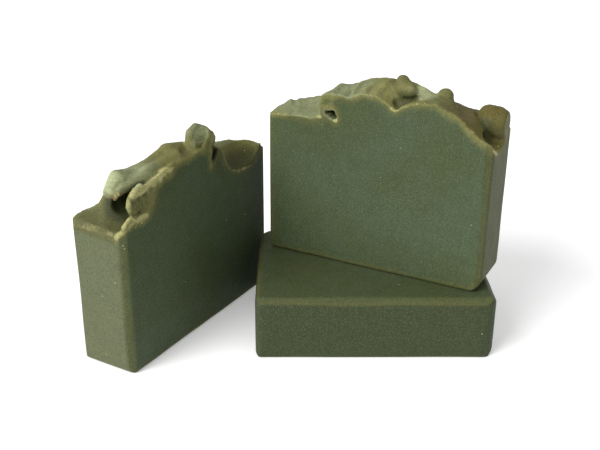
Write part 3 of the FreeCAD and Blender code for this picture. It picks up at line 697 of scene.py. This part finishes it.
class SoapCut(bpy.types.PropertyGroup):
    """The sizes of one bar, in mm, and where it stands in the set."""
    length: measure("Length", "Along the mould's width, in mm", 87.0, 40)
    thickness: measure("Thickness", "Between the two wire cuts, in mm", 24.0, 8)
    blank: measure("Blank height", "Room for the spooned top, in mm", 84.0, 30)
    left_bevel: measure("Left bevel", "Planed edges at the left end, in mm", 1.0, 0.2)
    right_bevel: measure("Right bevel", "Planed edges at the right end, in mm", 2.4, 0.2)
    near_floor_bevel: measure("Near floor bevel", "Floor edge of the first cut face, in mm", 0.9, 0.2)
    back_floor_bevel: measure("Back floor bevel", "Floor edge of the second cut face, in mm", 0.9, 0.2)
    left_corner: measure("Left corner", "Floor corner rounding, in mm", 2.7, 0.5)
    right_corner: measure("Right corner", "Floor corner rounding, in mm", 5.5, 0.5)
    left_lean: FloatProperty(name="Left lean", description="Slope of the left end, mm per mm", default=0.0)
    right_lean: FloatProperty(name="Right lean", description="Slope of the right end, mm per mm", default=0.0)
    tear: measure("Tear", "Roughness of the cut top rim, in mm", 0.35, 0)
    grain: measure("Grain", "Spacing of the carving grid, in mm", 0.5, 0.3)
    corner: FloatVectorProperty(name="Corner", description="Where the near left floor corner is", size=3,
                                subtype="TRANSLATION", unit="LENGTH", default=(0, 0, 0))
    turn: FloatProperty(name="Turn", description="Turn about the vertical", subtype="ANGLE",
                        unit="ROTATION", default=0.0)
    ash: part("Ash", "Soda ash on the moulded sides", 0.1)
    shade: part("Shade", "Darkening of the moulded sides", 0.0)
    glow: part("Glow", "How much lighter the wide cut faces are", 0.0)
    rind: part("Rind", "How strongly the top's yellow rind shows on the cut faces", 0.3, 0.8)
    crumbs_on_rims: measure("Crumbs on rims", "Crumbs for each square mm of torn rim", 0.5, 0)
    crumbs_elsewhere: measure("Crumbs elsewhere", "Crumbs for each square mm of bar", 0.002, 0)
    seed: IntProperty(name="Seed", description="Picks the fine unevenness", default=1)


class SoapLook(bpy.types.PropertyGroup):
    """The colours and waxiness that all the bars share."""
    core_colour: pigment("Core", "Inside of the loaf", (0.051, 0.068, 0.027))
    cool_colour: pigment("Cool core", "Bluer drifts inside the loaf", (0.054, 0.078, 0.039))
    rind_colour: pigment("Rind", "Near the loaf's outside", (0.098, 0.096, 0.028))
    crown_colour: pigment("Crown", "The spooned top", (0.190, 0.182, 0.060))
    # painted shade for dips in the spooned top
    hollow_colour: pigment("Hollow", "Dips in the spooned top", (0.100, 0.088, 0.028))
    sage_colour: pigment("Sage", "Paler, greyer parts of the top", (0.215, 0.232, 0.118))
    # partly pale ash, partly painted light on folds that face the light
    ash_and_painted_light_colour: pigment("Bloom", "Thin ash bloom on folds that face the light", (0.40, 0.43, 0.235))
    ember_colour: pigment("Ember", "Brown, torn soap that dried", (0.19, 0.125, 0.055))
    # painted shade: darkens hollows and the soap under overhangs
    painted_shade_colour: pigment("Moist", "Damper, darker parts of the top", (0.060, 0.062, 0.021))
    pale_colour: pigment("Pale", "Freshly torn rims", (0.42, 0.39, 0.165))
    # painted shade deep under folds and in splits
    deep_shade_colour: pigment("Cave", "Moist soap deep under a fold", (0.026, 0.029, 0.009))
    brown_colour: pigment("Brown", "Where the top has browned", (0.110, 0.088, 0.018))
    shade_colour: pigment("Shade", "Darker mottling", (0.024, 0.035, 0.012))
    ash_colour: pigment("Ash", "Pale soda ash and grain", (0.20, 0.22, 0.150))
    waxiness: part("Waxiness", "How much light travels through the soap", 0.2)


class SoapStage(bpy.types.PropertyGroup):
    """The camera and the studio."""
    lens: FloatProperty(name="Lens", description="Focal length in mm on a 36 mm sensor", default=52.81,
                        min=10)
    eye: FloatVectorProperty(name="Eye", description="Where the camera is", size=3, subtype="TRANSLATION",
                             unit="LENGTH", default=(-0.03078, -0.30619, 0.17383))
    pitch: FloatProperty(name="Pitch", description="How far the camera looks down", subtype="ANGLE",
                         unit="ROTATION", default=math.radians(23.55))
    yaw: FloatProperty(name="Yaw", description="How far the camera looks to the right", subtype="ANGLE",
                       unit="ROTATION", default=math.radians(0.63))
    roll: FloatProperty(name="Roll", description="How far the camera is tipped", subtype="ANGLE",
                        unit="ROTATION", default=math.radians(0.32))
    paper: pigment("Paper", "The floor's colour", (0.92, 0.92, 0.92))


def bar_settings():
    """Where each bar is and what is its own, by its name."""
    low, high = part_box("lying_bar")
    return {
        "lying_bar": dict(length=(high[0] - low[0]) / MM, corner=(low[0], low[1], high[2]), seed=11,
                          tear=0.3, near_floor_bevel=2.8, left_bevel=1.4, right_bevel=2.2, shade=0.92,
                          ash=0.05, glow=0.18),
        "upper_bar": dict(corner=(-0.0394, 0.0159, 0.02405), turn=math.radians(-28.5), seed=21,
                          left_lean=0.008, right_lean=0.004, shade=0.4, ash=0.0),
        "standing_bar": dict(corner=(-0.0864, -0.0418, 0.0), turn=math.radians(59.35), seed=31, length=88.0,
                             left_bevel=2.4, right_bevel=1.0, right_corner=2.0, ash=0.3, shade=0.35,
                             rind=0.08),
    }


TOPS = {"lying_bar": shape_lying_top, "upper_bar": shape_upper_top, "standing_bar": shape_standing_top}


def bar_matrix(name, size):
    """From a bar's own frame to the set's."""
    if name == "lying_bar":
        return Matrix.Translation(size.corner) @ Matrix.Rotation(math.radians(-90), 4, "X")
    return Matrix.Translation(size.corner) @ Matrix.Rotation(size.turn, 4, "Z")


def crumb_tree(crumb_finish, amounts):
    """Scatters small soap crumbs over a bar, thick where its rims are torn."""
    tree = bpy.data.node_groups.new("soap_crumbs", "GeometryNodeTree")
    tree.interface.new_socket("Bar", in_out="INPUT", socket_type="NodeSocketGeometry")
    for label, value in amounts.items():
        kind = "NodeSocketInt" if isinstance(value, int) else "NodeSocketFloat"
        tree.interface.new_socket(label, in_out="INPUT", socket_type=kind).default_value = value
    tree.interface.new_socket("Crumbs", in_out="OUTPUT", socket_type="NodeSocketGeometry")

    def node(kind, settings=None, values=None):
        made = tree.nodes.new(kind)
        for key, value in (settings or {}).items():
            setattr(made, key, value)
        for key, value in (values or {}).items():
            if isinstance(value, bpy.types.NodeSocket):
                tree.links.new(value, made.inputs[key])
            else:
                made.inputs[key].default_value = value
        return made

    given = node("NodeGroupInput").outputs
    torn = node("GeometryNodeInputNamedAttribute", {"data_type": "FLOAT"}, {"Name": "pale"})
    torn = torn.outputs["Attribute"]
    thick = node("ShaderNodeMath", {"operation": "MULTIPLY"}, {0: torn, 1: torn}).outputs[0]
    thick = node("ShaderNodeMath", {"operation": "MULTIPLY_ADD"}, {0: thick, 1: given["On torn rims"],
                                                                   2: given["Elsewhere"]}).outputs[0]
    place = node("GeometryNodeInputPosition").outputs[0]
    height = node("ShaderNodeSeparateXYZ", {}, {"Vector": place}).outputs["Z"]
    clear = node("ShaderNodeMath", {"operation": "GREATER_THAN"}, {0: height, 1: given["Lowest"]}).outputs[0]
    thick = node("ShaderNodeMath", {"operation": "MULTIPLY"}, {0: thick, 1: clear}).outputs[0]
    spread = node("GeometryNodeDistributePointsOnFaces", {"distribute_method": "RANDOM"},
                  {"Mesh": given["Bar"], "Density": thick, "Seed": given["Seed"]})
    size = node("FunctionNodeRandomValue", {"data_type": "FLOAT_VECTOR"}, {"Seed": given["Seed"]})
    smallest = node("ShaderNodeCombineXYZ", {}, {axis: given["Smallest"] for axis in "XYZ"}).outputs[0]
    largest = node("ShaderNodeCombineXYZ", {}, {axis: given["Largest"] for axis in "XYZ"}).outputs[0]
    tree.links.new(smallest, size.inputs[0])
    tree.links.new(largest, size.inputs[1])
    turn = node("FunctionNodeRandomValue", {"data_type": "FLOAT_VECTOR"}, {1: (FULL_TURN,) * 3})
    crumb = node("GeometryNodeMeshIcoSphere", {}, {"Radius": 0.5, "Subdivisions": 1}).outputs["Mesh"]
    placed = node("GeometryNodeInstanceOnPoints", {}, {"Points": spread.outputs["Points"], "Instance": crumb,
                                                       "Rotation": turn.outputs[0], "Scale": size.outputs[0]})
    whole = node("GeometryNodeRealizeInstances", {}, {"Geometry": placed.outputs["Instances"]})
    coated = node("GeometryNodeSetMaterial", {}, {"Geometry": whole.outputs["Geometry"],
                                                  "Material": crumb_finish})
    node("NodeGroupOutput", {}, {"Crumbs": coated.outputs["Geometry"]})
    return tree


def make_crumbs(name, piece, context):
    """The torn crumbs that cling to one bar, as one plain mesh."""
    size, look = getattr(context.scene, f"soap_{name}"), context.scene.soap_look
    finish = crumb_material(f"{name}_crumb_finish", look)
    settings = {"On torn rims": size.crumbs_on_rims / MM ** 2, "Elsewhere": size.crumbs_elsewhere / MM ** 2,
                "Smallest": SMALLEST_CRUMB * MM, "Largest": LARGEST_CRUMB * MM,
                "Lowest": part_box(name)[0][2] + CRUMB_CLEARANCE * MM, "Seed": size.seed}
    tree = crumb_tree(finish, settings)
    source = bpy.data.objects.new(f"{name}_crumb_source", piece.data)
    context.scene.collection.objects.link(source)
    scatter = source.modifiers.new("crumbs", "NODES")
    scatter.node_group = tree
    for item in tree.interface.items_tree:
        if item.in_out == "INPUT" and item.name in settings:
            scatter[item.identifier] = settings[item.name]
    source.data.update()
    evaluated = source.evaluated_get(context.evaluated_depsgraph_get())
    mesh = bpy.data.meshes.new_from_object(evaluated)
    bpy.data.objects.remove(source)
    mesh.name = f"{name}_crumbs"
    crumbs = bpy.data.objects.new(f"{name}_crumbs", mesh)
    context.scene.collection.objects.link(crumbs)
    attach(crumbs, name)


def make_bar(name, context):
    """Carves one bar and puts it in place of its CAD solid."""
    size = getattr(context.scene, f"soap_{name}")
    look = context.scene.soap_look
    bar = LoafSlice(size, size.grain)
    TOPS[name](bar)
    bar.trim()
    piece = bpy.data.objects.new(f"{name}_soap", bar.to_mesh(f"{name}_soap", bar_matrix(name, size)))
    context.scene.collection.objects.link(piece)
    shift = (0.013 * size.seed, -0.007 * size.seed, 0.005 * size.seed)
    piece.data.materials.append(soap_material(f"{name}_soap_finish", look, size, shift))
    make_crumbs(name, piece, context)
    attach(piece, name)
    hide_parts(name)


class SOAP_OT_lying_bar(bpy.types.Operator):
    """Make the bar that lies on its wide face"""
    bl_idname = "soap.lying_bar"
    bl_label = "Lying bar"

    def execute(self, context):
        make_bar("lying_bar", context)
        return {"FINISHED"}


class SOAP_OT_upper_bar(bpy.types.Operator):
    """Make the bar that stands on the lying one"""
    bl_idname = "soap.upper_bar"
    bl_label = "Upper bar"

    def execute(self, context):
        make_bar("upper_bar", context)
        return {"FINISHED"}


class SOAP_OT_standing_bar(bpy.types.Operator):
    """Make the bar that stands beside the others"""
    bl_idname = "soap.standing_bar"
    bl_label = "Standing bar"

    def execute(self, context):
        make_bar("standing_bar", context)
        return {"FINISHED"}


class SOAP_OT_stage(bpy.types.Operator):
    """Make the floor, the light and the camera"""
    bl_idname = "soap.stage"
    bl_label = "Stage"

    def execute(self, context):
        scene, stage = context.scene, context.scene.soap_stage
        sheet = bmesh.new()
        bmesh.ops.create_grid(sheet, x_segments=1, y_segments=1, size=4.0)
        mesh = bpy.data.meshes.new("floor")
        sheet.to_mesh(mesh)
        sheet.free()
        floor = bpy.data.objects.new("floor", mesh)
        floor.location.z = -FLOOR_DROP
        mesh.materials.append(floor_material(stage.paper))
        scene.collection.objects.link(floor)
        middle = Vector((-0.02, 0.0, 0.04))
        sun = bpy.data.lights.new("window_light", "SUN")
        sun.energy = SUN_POWER
        sun.angle = math.radians(SUN_SPREAD)
        lamp = bpy.data.objects.new("window_light", sun)
        lamp.rotation_euler = (middle - Vector(SUN_FROM)).to_track_quat("-Z", "Y").to_euler()
        scene.collection.objects.link(lamp)
        world = bpy.data.worlds.new("studio")
        world.use_nodes = True
        background = world.node_tree.nodes["Background"]
        background.inputs["Color"].default_value = (1, 1, 1, 1)
        background.inputs["Strength"].default_value = SKY_POWER
        scene.world = world
        scene.view_settings.view_transform = "Standard"
        camera = bpy.data.cameras.new("camera")
        camera.sensor_width = 36.0
        camera.lens = stage.lens
        camera.clip_start = 0.01
        eye = bpy.data.objects.new("camera", camera)
        look = Matrix.Rotation(-stage.yaw, 4, "Z") @ Matrix.Rotation(math.radians(90) - stage.pitch, 4, "X")
        eye.matrix_world = Matrix.Translation(stage.eye) @ look @ Matrix.Rotation(stage.roll, 4, "Z")
        scene.collection.objects.link(eye)
        scene.camera = eye
        return {"FINISHED"}


class SOAP_PT_panel(bpy.types.Panel):
    """The soap set's steps"""
    bl_label = "Soap bars"
    bl_idname = "SOAP_PT_panel"
    bl_space_type = "VIEW_3D"
    bl_region_type = "UI"
    bl_category = "Soap"

    def draw(self, context):
        for step in STEPS:
            self.layout.operator(step.bl_idname)


STEPS = (SOAP_OT_stage, SOAP_OT_lying_bar, SOAP_OT_upper_bar, SOAP_OT_standing_bar)
GROUPS = (SoapCut, SoapLook, SoapStage)
SCENE_SETTINGS = {"soap_look": SoapLook, "soap_stage": SoapStage, "soap_lying_bar": SoapCut,
                  "soap_upper_bar": SoapCut, "soap_standing_bar": SoapCut}


def register():
    for item in (*GROUPS, *STEPS, SOAP_PT_panel):
        bpy.utils.register_class(item)
    for name, group in SCENE_SETTINGS.items():
        setattr(bpy.types.Scene, name, PointerProperty(type=group))


def unregister():
    for name in SCENE_SETTINGS:
        delattr(bpy.types.Scene, name)
    for item in reversed((*GROUPS, *STEPS, SOAP_PT_panel)):
        bpy.utils.unregister_class(item)


def main():
    register()
    for name, values in bar_settings().items():
        for key, value in values.items():
            setattr(getattr(bpy.context.scene, f"soap_{name}"), key, value)
    bpy.ops.soap.stage()
    bpy.ops.soap.lying_bar()
    bpy.ops.soap.upper_bar()
    bpy.ops.soap.standing_bar()


if __name__ == "__main__":
    main()
